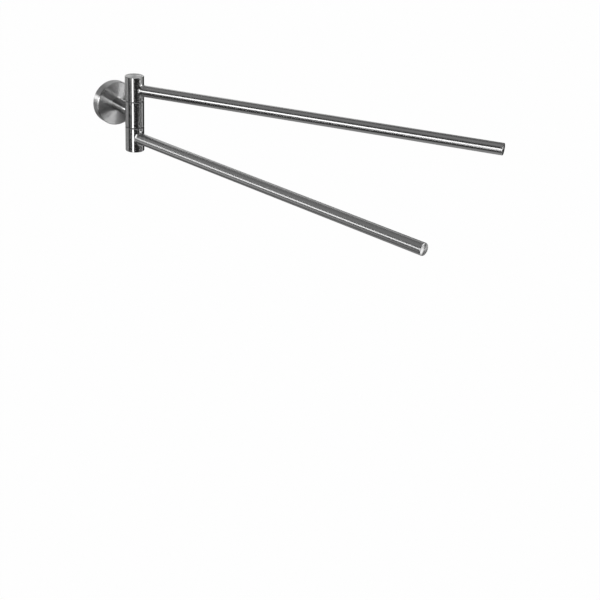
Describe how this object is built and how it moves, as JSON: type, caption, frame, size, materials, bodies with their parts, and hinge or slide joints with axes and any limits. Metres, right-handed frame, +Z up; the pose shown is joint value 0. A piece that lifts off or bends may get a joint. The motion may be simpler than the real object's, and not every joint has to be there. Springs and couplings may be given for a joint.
{
  "type": "two-arm towel holder",
  "caption": "Wall-mounted towel holder: a round rosette and short neck carry an upright post, on which straight round arms swivel, one above the other.",
  "frame": {"origin": "middle of the back of the rosette and the wall plate, on the wall, level with the middle of the hub", "axes": "+Y into the wall, -Y out to the post and the arms, +X to the right for someone who faces the wall, +Z up"},
  "size_m": [0.2587, 0.4556, 0.0842],
  "materials": {
    "satin_steel": "satin, brushed along or round the piece",
    "turned_steel": "satin, brushed in circles on its face",
    "ground_steel": "ground",
    "fastener_steel": "plain stainless",
    "spring_steel": "hardened, oiled",
    "zinc_plated_steel": "zinc plated",
    "light_alloy": "turned",
    "black_nylon": "moulded, matt"
  },
  "bodies": {
    "mount": {"wall_plate": "zinc_plated_steel", "rosette": "turned_steel", "rosette_set_screw": "fastener_steel", "neck": "satin_steel", "neck_screw": "fastener_steel", "neck_washer": "fastener_steel", "neck_dowel": "fastener_steel", "hub": "satin_steel", "pivot_shaft": "ground_steel", "upper_thrust_washer": "fastener_steel", "lower_thrust_washer": "fastener_steel", "upper_disc_spring": "spring_steel", "lower_disc_spring": "spring_steel", "upper_lock_nut": "zinc_plated_steel", "lower_lock_nut": "zinc_plated_steel"},
    "upper_arm": {"upper_collar": "satin_steel", "upper_bush": "black_nylon", "upper_cap": "turned_steel", "upper_arm_tube": "satin_steel", "upper_arm_insert": "light_alloy", "upper_arm_stud": "fastener_steel", "upper_end_plug": "turned_steel"},
    "lower_arm": {"lower_collar": "satin_steel", "lower_bush": "black_nylon", "lower_cap": "turned_steel", "lower_arm_tube": "satin_steel", "lower_arm_insert": "light_alloy", "lower_arm_stud": "fastener_steel", "lower_end_plug": "turned_steel"}
  },
  "joints": [
    {"name": "upper_arm_swivel", "type": "hinge", "parent": "mount", "child": "upper_arm", "pos_m": [0, -0.052, 0.0267], "axis": [0, 0, 1], "range_deg": [-124, 56]},
    {"name": "lower_arm_swivel", "type": "hinge", "parent": "mount", "child": "lower_arm", "pos_m": [0, -0.052, -0.0267], "axis": [0, 0, 1], "range_deg": [-101, 79]}
  ]
}
